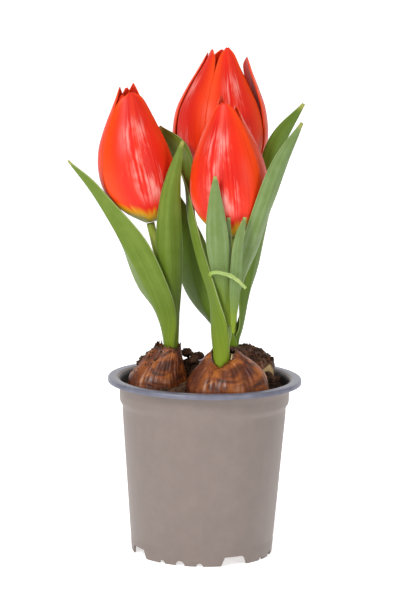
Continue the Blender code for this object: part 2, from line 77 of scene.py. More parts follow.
# Clumps of soil that cling to the bulbs: x, y, z and size
CLUMPS = [
    (-27.8, 2.2, 89.6, 2.6), (-25.2, 4.4, 91.4, 2.4), (-29.6, 4.0, 87.4, 2.2), (-22.0, 6.0, 91.0, 2.0),
    (16.8, 12.0, 93.2, 1.9), (19.6, 15.5, 93.2, 2.2), (22.6, 11.4, 92.4, 2.1), (25.4, 15.6, 91.4, 2.4),
    (27.6, 10.4, 89.8, 1.9), (30.0, 13.8, 88.0, 2.0), (21.0, 8.2, 91.6, 1.7), (24.4, 6.6, 89.6, 1.6),
    (-4.6, 6.0, 90.6, 2.4), (-8.6, 10.4, 91.6, 2.6), (-2.6, 11.5, 90.0, 2.3), (-6.0, 3.0, 89.0, 2.0),
    (27.6, -9.8, 82.8, 2.0), (30.8, -4.6, 82.4, 2.2), (33.4, 1.8, 81.6, 2.0), (29.2, 1.2, 83.4, 1.9)]

# Bulbs: middle, half widths, bottom, equator and top heights, the hole where the shoot comes out, and
# the notch in front of it. A shoulder runs from the equator to the hole as shares of the half width and
# of the height. A skew bulges the shoulder towards a direction
BULBS = {
    "left": dict(
        at=(-22.0, -3.5), half=(12.5, 12.7), z=(61.0, 80.0, 95.2), hole=(-15.2, -4.5), bore=4.45,
        notch=0.0, skew=(0.0, 0.0), shoulder=[
            (1.0, 0.0), (0.95, 0.18), (0.78, 0.44), (0.62, 0.71), (0.47, 0.93), (0.38, 1.0), (0.0, 1.0)]),
    "front": dict(
        at=(9.8, -16.6), half=(17.4, 16.8), z=(57.0, 79.0, 97.6), hole=(7.6, -21.5), bore=4.5,
        notch=13.0, skew=(0.0, 0.09), shoulder=[
            (1.0, 0.0), (0.98, 0.18), (0.87, 0.42), (0.63, 0.70), (0.42, 0.87), (0.27, 0.96), (0.0, 1.0)]),
    "back": dict(
        at=(18.2, 14.1), half=(13.3, 11.4), z=(60.0, 78.0, 93.0), hole=(13.0, 13.0), bore=4.45,
        notch=0.0, skew=(-10.0, 0.06), shoulder=[
            (1.0, 0.0), (0.98, 0.28), (0.90, 0.58), (0.72, 0.82), (0.50, 0.95), (0.36, 1.0), (0.0, 1.0)]),
}
BULB_SIDES = 96
BULB_RINGS = 72
SOCKET_SIDES = 64
SOCKET_RINGS = 40

# A bulb's notch: its reach from the hole, the direction it faces, and the angle it fades out over
NOTCH_REACH = 7.0
NOTCH_FACING = math.radians(258)
NOTCH_HALF = math.radians(82)

# The hole for a shoot
SHOOT_DEPTH = 14.0
SHOOT_SIDES = 48

# The torn brown skins: thickness, what their creases take of it, gap to the flesh, where they start and
# end, and how far the torn edge stands up round the shoot
TUNIC = 0.7
TUNIC_SLACK = 0.2
TUNIC_GAP = 0.9
TUNIC_FOOT = 0.2
TUNIC_ROWS = 90
TUNIC_TOP = {"left": 0.885, "front": 0.91, "back": 0.90}
COLLAR = {"left": 0.9, "front": -0.2, "back": 0.2}
COLLAR_START = 0.80

# The bare spot at the side of the back bulb, where its skin is torn open: middle and reach
TORN_AT = (29.5, 8.0, 83.5)
TORN_REACH = 4.5

# Crumbs of soil: how many to a square metre, smallest and largest radius, lowest height, and seed. Then
# how far their ground has to face up, the range of their shapes, and the grain and depth of their dents
CRUMB_INPUTS = ("Density", "Smallest", "Largest", "Lowest", "Seed")
CRUMBS = {
    "soil_crumbs": (700000.0, 0.25 * MM, 0.95 * MM, 70.0 * MM, 11),
    "clump_crumbs": (2500000.0, 0.2 * MM, 0.6 * MM, 70.0 * MM, 7),
    "back_crumbs": (650000.0, 0.25 * MM, 0.9 * MM, 84.0 * MM, 3),
    "left_crumbs": (110000.0, 0.2 * MM, 0.6 * MM, 84.0 * MM, 9),
}
CRUMB_UPWARD = 0.35
CRUMB_SLIM = (0.55, 0.55, 0.45)
CRUMB_STOUT = (1.5, 1.1, 1.0)
CRUMB_SHAPE_SEED = 5
FULL_TURN = 6.28
DENT_SCALE = 1100.0
DENT_DEPTH = 1.2 * MM

# Stems, and the height of the shoots' leaf bases inside the bulbs
STEM_RADIUS = 1.9
STEM_TAPER = 0.2
STEM_STEPS = 48
SHOOT_Z = 89.0
STEM_POINTS = {
    "left": [(-15.2, -4.5, 84), (-15.2, -4.5, 100), (-17.6, -4.4, 118), (-21.6, -4, 136),
             (-26.2, -2.5, 154.4)],
    "front": [(7.6, -21.5, 85), (7.6, -21.5, 100), (9.0, -19.7, 118), (11.3, -16, 135),
              (13.1, -13.0, 149.6)],
    "back": [(13.0, 13.0, 82), (13.0, 13.0, 100), (11.8, 14.6, 125), (9.4, 18.4, 150),
             (7.0, 22.4, 170.4)],
}

# Leaves. Those that clasp their stem have the plant's name, the radius at which they wrap it and the
# direction they open to. Stations: x, y, z, half width, facing of the inner side, keel and cup angles
BLADE = 0.6
WRAP = 92.0
WRAP_RISE = 8.0
INNER_WRAP = 2.55
OUTER_WRAP = 3.68
LEAF_ROWS = 84
LEAF_COLUMNS = 22
LEAF_RIPPLE = 0.30
LEAF_VEIN = 0.04
LEAVES = {
    "leaf_left_outer": (("left", OUTER_WRAP, 5), [
        (-21.2, -8.6, 111, 8.2, 42, 12, 54), (-26.6, -12.2, 124, 9.8, 50, 18, 22),
        (-38.4, -12.4, 145.3, 10.4, 36, 28, 16), (-52.0, -10.4, 167.4, 5.8, 10, 34, 10),
        (-64.2, -5, 182.4, 0.7, 0, 25, 5)]),
    "leaf_left_inner": (("left", INNER_WRAP, 155), [
        (-13.3, -7.2, 109, 4.4, 135, 10, 50), (-16.0, -9.8, 125, 6.0, 98, 16, 30),
        (-17.4, -14.2, 146, 7.0, 88, 20, 22), (-17.4, -18.5, 165, 5.6, 84, 22, 18),
        (-15.7, -18.5, 178, 3.6, 84, 22, 12), (-11.8, -15, 193.4, 0.7, 85, 15, 5)]),
    "leaf_front_long_left": (("front", OUTER_WRAP, 62), [
        (4.2, -25.4, 107, 6.5, 48, 8, 62), (1.2, -26.0, 124, 6.4, 14, 14, 18),
        (-4.6, -20, 141, 6.0, 5, 26, 14), (-8.9, -11, 158, 5.6, -5, 28, 12),
        (-10.6, -3, 173, 5.0, -35, 20, 10), (-13.9, 5, 187.6, 4.6, -88, 14, 10),
        (-22.8, 12, 197.4, 0.7, -105, 12, 5)]),
    "leaf_front_long_right": (("front", INNER_WRAP, 215), [
        (12.0, -19.0, 108, 5.4, 198, 12, 52), (15.2, -19.8, 126, 6.6, 154, 20, 32),
        (20.8, -22.8, 146, 6.0, 122, 24, 18), (27.0, -29.4, 168, 5.4, 126, 22, 12),
        (33.0, -27.6, 186, 4.2, 116, 22, 10), (41.8, -20, 203.0, 0.7, 110, 20, 5)]),
    "leaf_front_centre": (None, [
        (9.6, -26.0, 111, 1.8, 88, 5, 16), (8.2, -27.0, 122, 3.1, 86, 8, 18),
        (6.1, -29.9, 136, 4.2, 85, 12, 18), (4.5, -32.2, 150, 5.4, 86, 14, 14),
        (3.4, -34.0, 166, 3.6, 88, 14, 10), (3.0, -35.2, 179.8, 0.7, 90, 12, 5)]),
    "leaf_front_small": (None, [
        (12.4, -28.2, 108, 0.6, 100, 5, 14), (12.7, -29.2, 118, 1.7, 102, 8, 14),
        (13.2, -30.2, 131, 2.7, 105, 10, 14),
        (14.2, -30.4, 149, 2.4, 105, 12, 10), (16.8, -30.8, 161.2, 0.7, 105, 10, 5)]),
    "leaf_front_slim": (None, [
        (9.0, -24.2, 128, 1.0, 95, 5, 10), (9.5, -24.6, 144, 1.5, 95, 8, 10),
        (9.5, -29.8, 160.8, 0.7, 95, 8, 5)]),
    "leaf_front_curled": (None, [
        (1.5, -29.4, 134.2, 0.7, 80, 5, 12), (2.2, -31.8, 135.8, 0.8, 85, 5, 12),
        (5.2, -33.2, 136.4, 0.8, 90, 5, 12), (10.0, -34.4, 135.4, 0.8, 95, 5, 12),
        (14.2, -34.8, 133.0, 0.7, 100, 5, 12), (17.7, -34.6, 129.6, 0.6, 100, 5, 5)]),
    "leaf_back_left": (("back", OUTER_WRAP, 22), [
        (3.2, 9.4, 107, 6.6, 48, 10, 44), (-3.4, 8, 121, 9.2, 65, 14, 22),
        (-7.6, 7.4, 138, 9.0, 80, 16, 14), (-11.6, 7, 155, 5.2, 88, 14, 10),
        (-15.0, 7, 168, 0.7, 90, 12, 5)]),
    "leaf_back_right": (("back", INNER_WRAP, 190), [
        (17.8, 12.6, 106, 4.2, 184, 12, 44), (20.6, 7.0, 126, 5.6, 135, 18, 26),
        (23.6, 5.0, 148, 5.4, 118, 20, 18), (27.4, 5.4, 172, 5.2, 108, 20, 14),
        (32.0, 6, 192, 4.6, 105, 20, 10), (43.3, 5, 209.6, 0.7, 110, 15, 5)]),
}

# Petals: thickness and the distance of the layers, smallest radius, step for reading the profile's slope,
# middle rib, pucker and wavy margin, and the rounding of the tip. The profile is a bloom's radius by its
# height, the outline a petal's width by its length
PETAL = 0.55
PETAL_LAYER = 1.5
PETAL_ROWS = 64
PETAL_COLUMNS = 36
PETAL_SMALLEST = 1.2
PETAL_STEP = 0.03
PETAL_RIB = 0.28
PETAL_RIB_WIDTH = 0.16
PETAL_PUCKER = 0.10
PETAL_WAVE = 0.26
TIP_LOSS = 0.6
TIP_POWER = 50
PETAL_PROFILE = [
    (0.00, 0.19), (0.04, 0.42), (0.12, 0.74), (0.24, 0.95), (0.38, 1.00), (0.55, 0.91),
    (0.70, 0.71), (0.83, 0.50), (0.93, 0.35), (1.00, 0.27), (1.10, 0.20)]
PETAL_OUTLINE = [(0.0, 0.80), (0.2, 1.0), (0.6, 1.0), (0.8, 0.95), (0.92, 0.82), (0.97, 0.60), (1.0, 0.24)]

# Blooms: foot, tip and sideways bow of the axis, and largest radius. Each petal: azimuth, half angle,
# layer, length as a share of the bloom's, and splay of the tip
BLOOMS = {
    "left": dict(foot=(-26.2, -2.5, 155.0), tip=(-37.4, -2.0, 218.0), bow=-3.3, radius=18.3, petals=[
        (-75, 66, 0, 0.94, 0.0), (165, 57, 1, 0.985, 0.3), (45, 57, 1, 0.995, 0.0),
        (105, 54, 2, 0.97, 0.0), (225, 54, 2, 0.93, 0.0), (-15, 54, 2, 0.93, 0.0)]),
    "front": dict(foot=(13.1, -13.0, 150.2), tip=(7.6, -12.5, 212.6), bow=-0.8, radius=18.8, petals=[
        (-107, 67, 0, 0.98, 0.0), (145, 58, 1, 1.03, 0.0), (20, 58, 1, 0.94, 0.0),
        (80, 54, 2, 0.96, 0.0), (200, 54, 2, 0.98, 0.0), (-40, 54, 2, 0.92, 0.0)]),
    "back": dict(foot=(7.0, 22.5, 171.0), tip=(5.6, 23.8, 233.8), bow=-1.6, radius=21.9, petals=[
        (200, 57, 1, 0.985, 0.3), (12, 34, 0, 0.925, 4.4), (92, 42, 0, 0.98, 0.6),
        (-66, 42, 0, 1.00, 0.0), (60, 54, 1, 0.96, 0.0), (168, 29, 0, 0.96, 0.2)]),
}

# Camera: where it stands, how far it looks down and leans, and its lens
CAMERA_AT = (-0.9, -1129.6, 298.6)
CAMERA_DOWN = 9.2
CAMERA_LEAN = 1.0
CAMERA_LENS = 145.4
CAMERA_SENSOR = 36.0
CAMERA_FAR = 30.0

# White studio, in metres and watts: strength of the surroundings, the spot that the lamps point at, and
# their places, sizes and powers. The sweep's side line is in millimetres
WORLD_LIGHT = 0.3
LAMP_AIM = (0.0, 0.0, 0.14)
LAMPS = {
    "key": ((-0.75, -1.1, 0.95), (0.30, 0.6), 15.5),
    "fill": ((0.95, -1.0, 0.6), (0.30, 0.7), 4.5),
    "top": ((0.1, 0.35, 1.4), (1.0, 1.0), 4.0),
}
SWEEP_LINE = [(-2500.0, 0.0), (2200.0, 0.0), (2900.0, 180.0), (3300.0, 700.0), (3400.0, 3000.0)]
SWEEP_STEPS = 40
SWEEP_HALF = 3500.0


class Value:
    """A socket of a shader tree that can be used in Python expressions."""

    def __init__(self, finish, socket):
        self.finish = finish
        self.socket = socket

    def math(self, operation, *others):
        return self.finish.math(operation, self, *others)

    def __add__(self, other):
        return self.math("ADD", other)

    __radd__ = __add__

    def __mul__(self, other):
        return self.math("MULTIPLY", other)

    __rmul__ = __mul__

    def __sub__(self, other):
        return self.math("SUBTRACT", other)

    def __rsub__(self, other):
        return self.finish.math("SUBTRACT", other, self)

    def __truediv__(self, other):
        return self.math("DIVIDE", other)

    def __pow__(self, other):
        return self.math("POWER", other)

    def __abs__(self):
        return self.math("ABSOLUTE")

    def step(self, low, high):
        """Smooth rise from 0 at low to 1 at high."""
        return self.finish.add("ShaderNodeMapRange", {"Value": self, "From Min": low, "From Max": high},
                               interpolation_type="SMOOTHSTEP")


class Finish:
    """A material: its node tree, its main shader and one way to add nodes."""

    def __init__(self, name, **constants):
        self.material = bpy.data.materials.new(name)
        self.material.use_nodes = True
        self.tree = self.material.node_tree
        self.shader = self.tree.nodes["Principled BSDF"]
        for socket, value in constants.items():
            self.shader.inputs[socket.replace("_", " ")].default_value = value

    def feed(self, socket, value):
        if isinstance(value, Value):
            self.tree.links.new(value.socket, socket)
        elif isinstance(value, tuple) and len(value) == 3 and socket.type == "RGBA":
            socket.default_value = (*value, 1.0)
        else:
            socket.default_value = value

    def add(self, kind, values, out=0, **settings):
        """A node with its settings, then its sockets' values or links."""
        node = self.tree.nodes.new(kind)
        for key, value in settings.items():
            setattr(node, key, value)
        for key, value in values.items():
            self.feed(node.inputs[key], value)
        return Value(self, node.outputs[out])

    def math(self, operation, *values):
        return self.add("ShaderNodeMath", dict(enumerate(values)), operation=operation)

    def place(self):
        """Object coordinates."""
        return self.add("ShaderNodeTexCoord", {}, out="Object")

    def across_along(self):
        """The piece's own UV: across it and along it."""
        uv = self.add("ShaderNodeUVMap", {}, uv_map="UVMap")
        return self.split(uv)[:2]

    def split(self, vector):
        first = self.add("ShaderNodeSeparateXYZ", {0: vector})
        return [Value(self, output) for output in first.socket.node.outputs]

    def join(self, x, y, z):
        return self.add("ShaderNodeCombineXYZ", {0: x, 1: y, 2: z})

    def streaks(self, x, y, z, detail, roughness=0.5, distortion=0.0):
        """Noise on coordinates that are stretched unevenly."""
        return self.noise(self.join(x, y, z), 1.0, detail, roughness, distortion)

    def noise(self, vector, scale, detail, roughness=0.5, distortion=0.0):
        return self.add("ShaderNodeTexNoise", {"Vector": vector, "Scale": scale, "Detail": detail,
                                               "Roughness": roughness, "Distortion": distortion})

    def mix(self, factor, first, second):
        """The second colour over the first, as far as the factor says."""
        return self.add("ShaderNodeMix", {0: factor, 6: first, 7: second}, out=2, data_type="RGBA")

    def bump(self, height, distance, strength):
        return self.add("ShaderNodeBump", {"Height": height, "Distance": distance, "Strength": strength})

    def wear(self, colour, roughness, normal=None):
        """Link what changes over the surface to the main shader."""
        for name, value in (("Base Color", colour), ("Roughness", roughness), ("Normal", normal)):
            if value is not None:
                self.feed(self.shader.inputs[name], value)
        return self.material


def petal_finish():
    """Silky red petals: orange margins, a rosy sheen painted in streaks, painted highlight patches, yellow
    foot and an olive base.
    """
    skin = Finish("petal_red", Specular_IOR_Level=0.22, Coat_Weight=0.05, Coat_Roughness=0.30,
                  Sheen_Weight=0.03, Sheen_Tint=(1.0, 0.5, 0.45, 1.0), Subsurface_Weight=0.10,
                  Subsurface_Radius=(0.004, 0.001, 0.0005))
    across, along = skin.across_along()
    spot = skin.place()
    edge = abs(across - 0.5) * 2.0
    threads = skin.streaks(across * 46.0, along * 1.6, 0.3, 4.0)
    bands = skin.streaks(across * 7.0, along * 1.1, 4.0, 2.0)
    cloud = skin.noise(spot, 60.0, 2.0)
    middle = 1.0 - edge.step(0.20, 0.75)
    # Painted sheen: rosy streaks down the middle of each petal stand in for the sheen of light on it.
    painted_sheen = (threads * 0.55 + bands * 0.7 - 0.32).step(0.12, 0.62) * middle * along.step(0.05, 0.3)
    red = skin.mix(cloud.step(0.3, 0.7), (0.60, 0.005, 0.003), (0.74, 0.012, 0.004))
    warm = skin.mix(edge.step(0.30, 0.95), red, (0.84, 0.055, 0.001))
    with_painted_sheen = skin.mix(painted_sheen * 0.8, warm, (0.80, 0.068, 0.024))
    patch = skin.streaks(across * 5.0, along * 3.0, 9.0, 3.0, 0.6)
    # Painted highlight: pale patches along the middle of each petal, where light glances off it.
    painted_highlight = (threads * 0.6 + patch * 0.9 - 0.55).step(0.15, 0.42) * (1.0 - edge.step(0.15, 0.6))
    with_painted_highlight = skin.mix(painted_highlight * along.step(0.12, 0.3) * (1.0 - along.step(0.65, 0.9)), with_painted_sheen, (0.92, 0.36, 0.31))
    veined = skin.mix(threads.step(0.52, 0.75) * 0.5, with_painted_highlight, (0.58, 0.008, 0.004))
    fringe = (bands - 0.5) * 0.14 + (threads - 0.5) * 0.06
    rise = along + fringe - edge * 0.10
    yellow = skin.mix(1.0 - rise.step(0.03, 0.12), veined, (0.72, 0.36, 0.010))
    olive = skin.mix(1.0 - rise.step(-0.03, 0.045), yellow, (0.26, 0.26, 0.028))
    ribs = skin.streaks(across * 70.0, along * 2.0, 1.7, 3.0)
    height = ribs * 0.6 + threads * 0.4
    return skin.wear(olive, 0.34 + threads * 0.16, skin.bump(height, 0.12 * MM, 0.55))


def leaf_finish(name, upper, lower, wax):
    """Leaf skin: one green at the foot and one above it, with wax, parallel veins and a pale edge and tip."""
    skin = Finish(name, Specular_IOR_Level=0.25, Coat_Weight=0.03, Coat_Roughness=0.4, Sheen_Weight=0.04,
                  Sheen_Roughness=0.5, Sheen_Tint=(0.75, 0.9, 0.8, 1.0), Subsurface_Weight=0.05,
                  Subsurface_Radius=(0.001, 0.002, 0.0005))
    across, along = skin.across_along()
    spot = skin.place()
    wobble = skin.streaks(across * 3.0, along * 5.0, 0.0, 2.0)
    veins = skin.streaks(across * 60.0 + wobble, along * 1.5, 2.0, 3.0)
    broad = skin.streaks(across * 9.0, along * 2.2, 7.0, 3.0)
    mottle = skin.noise(spot, 160.0, 4.0, 0.6)
    edge = abs(across - 0.5) * 2.0
    green = skin.mix((along + broad * 0.3).step(0.12, 0.62), lower, upper)
    bloom = (broad * 0.6 + mottle * 0.5 - 0.2).step(0.15, 0.6) * along.step(0.2, 0.6)
    waxed = skin.mix(bloom * 0.8, green, wax)
    lined = skin.mix(veins.step(0.35, 0.75) * 0.32, waxed, (0.24, 0.34, 0.035))
    margin = skin.mix(edge.step(0.93, 1.0) * 0.55, lined, (0.45, 0.55, 0.22))
    tip = skin.mix(along.step(0.965, 1.0) * 0.7, margin, (0.48, 0.46, 0.12))
    height = veins * 0.7 + mottle * 0.3
    return skin.wear(tip, 0.40 + mottle * 0.2, skin.bump(height, 0.15 * MM, 0.6))


def stem_finish():
    """Smooth yellow-green stem with faint lines and a pale bloom of wax."""
    skin = Finish("stem_green", Sheen_Weight=0.15, Coat_Weight=0.05)
    spot = skin.place()
    x, y, z = skin.split(spot)
    lines = skin.streaks(x * 900.0, y * 900.0, z * 25.0, 3.0)
    mottle = skin.noise(spot, 220.0, 3.0)
    green = skin.mix(lines.step(0.3, 0.75), (0.29, 0.37, 0.025), (0.43, 0.51, 0.07))
    waxed = skin.mix(mottle.step(0.45, 0.8) * 0.4, green, (0.30, 0.38, 0.16))
    return skin.wear(waxed, 0.42 + mottle * 0.15, skin.bump(lines, 0.1 * MM, 0.5))


def tunic_finish():
    """Papery chestnut skin: fibres, orange and rosy patches, dark folds and top edge, a back darkened by soil
    and painted shade, and a bare spot.
    """
    skin = Finish("tunic_brown", Specular_IOR_Level=0.3, Coat_Weight=0.22, Coat_Roughness=0.25)
    across, along = skin.across_along()
    spot = skin.place()
    fibres = skin.streaks(across * 90.0, along * 4.0, 0.0, 3.0)
    folds = skin.streaks(across * 9.0, along * 7.0, 3.0, 3.0, 0.5, 1.2)
    patches = skin.noise(spot, 95.0, 5.0, 0.6, 0.4)
    blotches = skin.noise(spot, 210.0, 4.0, 0.7)
    brown = skin.mix(patches.step(0.32, 0.66), (0.075, 0.015, 0.006), (0.275, 0.066, 0.011))
    orange = skin.mix((patches * 0.5 + folds * 0.6).step(0.52, 0.72), brown, (0.41, 0.125, 0.020))
    rosy = skin.mix(blotches.step(0.58, 0.8) * 0.6, orange, (0.30, 0.055, 0.040))
    pale = skin.mix(fibres.step(0.58, 0.82) * 0.25, rosy, (0.50, 0.24, 0.09))
    dark = skin.mix((1.0 - folds.step(0.30, 0.50)) * 0.8, pale, (0.030, 0.008, 0.004))
    # The skin darkens along its torn top edge.
    dark_top_edge = skin.mix(along.step(0.93, 1.0) * 0.8, dark, (0.030, 0.012, 0.007))
    x, y, z = skin.split(spot)
    torn_x, torn_y, torn_z = Vector(TORN_AT) * MM
    away = ((x - torn_x) ** 2 + (y - torn_y) ** 2 + (z - torn_z) ** 2) ** 0.5
    torn = 1.0 - (away / (TORN_REACH * MM) + blotches * 1.1 - 0.5).step(0.75, 0.95)
    # The skins darken in blotches towards the back: partly soil on the back bulb and partly painted shade.
    behind = y.step(1.0 * MM, 9.0 * MM) * blotches.step(0.3, 0.5)
    soiled_and_shaded = skin.mix(behind * 0.85, dark_top_edge, (0.042, 0.015, 0.007))
    bare = skin.mix(torn, soiled_and_shaded, (0.66, 0.45, 0.20))
    height = folds * 0.8 + fibres * 0.25 + blotches * 0.15 - torn * 0.5
    return skin.wear(bare, 0.34 + blotches * 0.25, skin.bump(height, 0.6 * MM, 0.7))


def flesh_finish():
    """Cream bulb flesh with faint lengthwise lines and brown stains."""
    skin = Finish("bulb_cream", Subsurface_Weight=0.15, Subsurface_Radius=(0.004, 0.002, 0.001))
    spot = skin.place()
    x, y, z = skin.split(spot)
    lines = skin.streaks(x * 500.0, y * 500.0, z * 40.0, 3.0)
    stain = skin.noise(spot, 180.0, 4.0, 0.6)
    cream = skin.mix(lines.step(0.3, 0.7), (0.66, 0.47, 0.23), (0.76, 0.60, 0.36))
    stained = skin.mix(stain.step(0.52, 0.75) * 0.7, cream, (0.36, 0.14, 0.04))
    return skin.wear(stained, 0.45 + stain * 0.15, skin.bump(lines + stain, 0.3 * MM, 0.6))


def soil_finish():
    """Moist dark peat with brown fibres."""
    skin = Finish("peat", Specular_IOR_Level=0.25)
    spot = skin.place()
    grain = skin.noise(spot, 900.0, 6.0, 0.7)
    lumps = skin.noise(spot, 240.0, 4.0, 0.6)
    dark = skin.mix(lumps.step(0.35, 0.7), (0.036, 0.017, 0.009), (0.150, 0.076, 0.042))
    fibre = skin.mix(grain.step(0.60, 0.72) * 0.8, dark, (0.20, 0.10, 0.048))
    return skin.wear(fibre, 0.75 + grain * 0.2, skin.bump(grain + lumps, 0.8 * MM, 0.9))


def pot_finish():
    """Thin satin plastic: taupe outside, bluish rim, near-black inside that is partly dark plastic and partly
    painted shade, with dust and faint lines.
    """
    skin = Finish("pot_plastic", Coat_Weight=0.10, Coat_Roughness=0.3)
    spot = skin.place()
    x, y, z = skin.split(spot)
    radius = (x * x + y * y) ** 0.5
    grain = skin.noise(spot, 2600.0, 2.0)
    dust = skin.noise(spot, 120.0, 5.0, 0.65)
    turning = skin.streaks(x * 30.0, y * 30.0, z * 900.0, 3.0)
    streak = skin.streaks(x * 160.0, y * 160.0, z * 12.0, 3.0)
    taupe = skin.mix((dust * 0.8 + streak * 0.2).step(0.3, 0.8), (0.190, 0.148, 0.130), (0.222, 0.174, 0.154))
    slope = (WALL_TOP_RADIUS - BASE_RADIUS - 0.6) / (POT_HEIGHT - 22.5)
    neck = z.step(69.0 * MM, 72.0 * MM) * (0.95 * MM)
    middle = z * slope + neck + 32.5 * MM
    inside = 1.0 - (radius - middle).step(-0.1 * MM, 0.1 * MM)
    above = z.step(3.6 * MM, 4.0 * MM)
    # Painted shade: the inside is near-black, partly the plastic's own dark colour and partly shade down in
    # the pot.
    dark = skin.mix(dust.step(0.4, 0.75) * 0.6, (0.022, 0.020, 0.022), (0.058, 0.052, 0.055))
    walls = skin.mix(inside * above, taupe, dark)
    lip = z.step(79.6 * MM, 79.9 * MM) * radius.step(40.4 * MM, 41.0 * MM)
    lavender = skin.mix(dust.step(0.35, 0.75), (0.125, 0.127, 0.172), (0.18, 0.183, 0.242))
    colour = skin.mix(lip, walls, lavender)
    rough = 0.42 + dust * 0.16 - lip * 0.12
    height = grain * 0.25 + turning * 0.35 + dust * 0.3
    return skin.wear(colour, rough, skin.bump(height, 0.12 * MM, 0.5))


def floor_finish():
    """White paper that glows a little, so that it stays white round the plant."""
    skin = Finish("white_sweep", Specular_IOR_Level=0.2, Emission_Color=(1.0, 1.0, 1.0, 1.0),
                  Emission_Strength=0.6)
    spot = skin.place()
    paper = skin.noise(spot, 40.0, 3.0)
    white = skin.mix(paper, (0.93, 0.93, 0.93), (0.95, 0.95, 0.95))
    return skin.wear(white, 0.8 + paper * 0.1)


def add_object(name, data):
    """A new object in the scene."""
    item = bpy.data.objects.new(name, data)
    bpy.context.scene.collection.objects.link(item)
    return item


def add_piece(name, mesh, material):
    """Put a mesh in the scene under a name, with its finish."""
    mesh.materials.clear()
    mesh.materials.append(material)
    return add_object(name, mesh)


def declare(piece, node):
    """The piece stands for a CAD node, whose part it hides, and rides the plant's one body."""
    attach(piece, "root")
    if node:
        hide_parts(node)


def smooth_mesh(shape, name):
    """A smooth mesh of what was built up in shape, which is then given up."""
    mesh = bpy.data.meshes.new(name)
    shape.to_mesh(mesh)
    shape.free()
    mesh.shade_smooth()
    return mesh


def made_mesh(item, name):
    """The evaluated mesh of an object, which is then removed."""
    graph = bpy.context.evaluated_depsgraph_get()
    mesh = bpy.data.meshes.new_from_object(item.evaluated_get(graph))
    mesh.name = name
    bpy.data.objects.remove(item, do_unlink=True)
    return mesh


def spline(points, count):
    """Points at even steps along a Catmull-Rom curve through the given rows of numbers."""
    rows = np.array(points, dtype=float)
    ends = np.vstack([2 * rows[0] - rows[1], rows, 2 * rows[-1] - rows[-2]])
    spans = len(rows) - 1
    out = []
    for step in np.linspace(0.0, spans, count):
        i = min(int(step), spans - 1)
        t = step - i
        a, b, c, d = ends[i:i + 4]
        out.append(0.5 * (2 * b + (c - a) * t + (2 * a - 5 * b + 4 * c - d) * t**2
                          + (3 * b - a - 3 * c + d) * t**3))
    return np.array(out)


def sheet_mesh(grid, name):
    """An open sheet over a grid of points, with a UV map that runs across and along it."""
    rows, columns, _ = grid.shape
    shape = bmesh.new()
    layer = shape.loops.layers.uv.new("UVMap")
    verts = [[shape.verts.new(grid[i, j] * MM) for j in range(columns)] for i in range(rows)]
    for i in range(rows - 1):
        for j in range(columns - 1):
            corners = ((i, j), (i, j + 1), (i + 1, j + 1), (i + 1, j))
            face = shape.faces.new([verts[a][b] for a, b in corners])
            for loop, (a, b) in zip(face.loops, corners):
                loop[layer].uv = (b / (columns - 1), a / (rows - 1))
    return smooth_mesh(shape, name)


def thicken(item, thickness, side):
    """Give a sheet its thickness."""
    solid = item.modifiers.new("Thickness", "SOLIDIFY")
    solid.thickness = thickness * MM
    solid.offset = side
    solid.use_even_offset = False
    return item


def leaf_stations(name):
    """A leaf's stations, with its clasping base first where it has one."""
    clasp, stations = LEAVES[name]
    if not clasp:
        return stations
    plant, wrap, facing = clasp
    x = BULBS[plant]["hole"][0] - wrap * math.cos(math.radians(facing))
    y = BULBS[plant]["hole"][1] - wrap * math.sin(math.radians(facing))
    half = wrap * math.radians(WRAP)
    base = [(x, y, SHOOT_Z + rise, half, facing, 0.0, WRAP) for rise in (0.0, WRAP_RISE)]
    return base + stations


def section(reach, half, keel, cup):
    """Sideways run and rise of a leaf's half at some distance from its midrib."""
    start = math.radians(keel)
    bend = math.radians(max(cup, 1.0)) / max(half, 0.1)
    out = (math.sin(start + bend * reach) - math.sin(start)) / bend
    rise = (math.cos(start) - math.cos(start + bend * reach)) / bend
    return out, rise


def leaf_grid(stations, rows, columns, phase):
    """Points of a leaf: a midrib with a keeled and cupped section turned to its facing."""
    line = spline(stations, rows)
    along = np.gradient(line[:, :3], axis=0)
    grid = np.zeros((rows, columns + 1, 3))
    for i in range(rows):
        x, y, z, half, facing, keel, cup = line[i]
        s = i / (rows - 1)
        tangent = along[i] / np.linalg.norm(along[i])
        face = math.radians(facing)
        inward = np.array([math.cos(face), math.sin(face), 0.0])
        inward -= tangent * inward.dot(tangent)
        inward /= np.linalg.norm(inward)
        across = np.cross(inward, tangent)
        free = max(0.0, min(1.0, 3.0 * s - 0.9)) * min(1.0, 8.0 * (1.0 - s))
        for j in range(columns + 1):
            v = 2.0 * j / columns - 1.0
            out, rise = section(abs(v) * half, half, keel, cup)
            ripple = LEAF_RIPPLE * free * v**4 * math.sin(21.0 * s + phase + 1.5 * v)
            vein = LEAF_VEIN * math.cos(14.0 * v)
            lift = rise + ripple + vein
            grid[i, j] = np.array([x, y, z]) + across * math.copysign(out, v) + inward * lift
    return grid


PROFILE = spline(PETAL_PROFILE, CURVE_POINTS)
OUTLINE = spline(PETAL_OUTLINE, CURVE_POINTS)
SHOULDERS = {key: spline(bulb["shoulder"], CURVE_POINTS) for key, bulb in BULBS.items()}


def along_profile(level):
    """A bloom's radius at some share of its height, as a share of its largest radius."""
    return float(np.interp(level, PROFILE[:, 0], PROFILE[:, 1]))


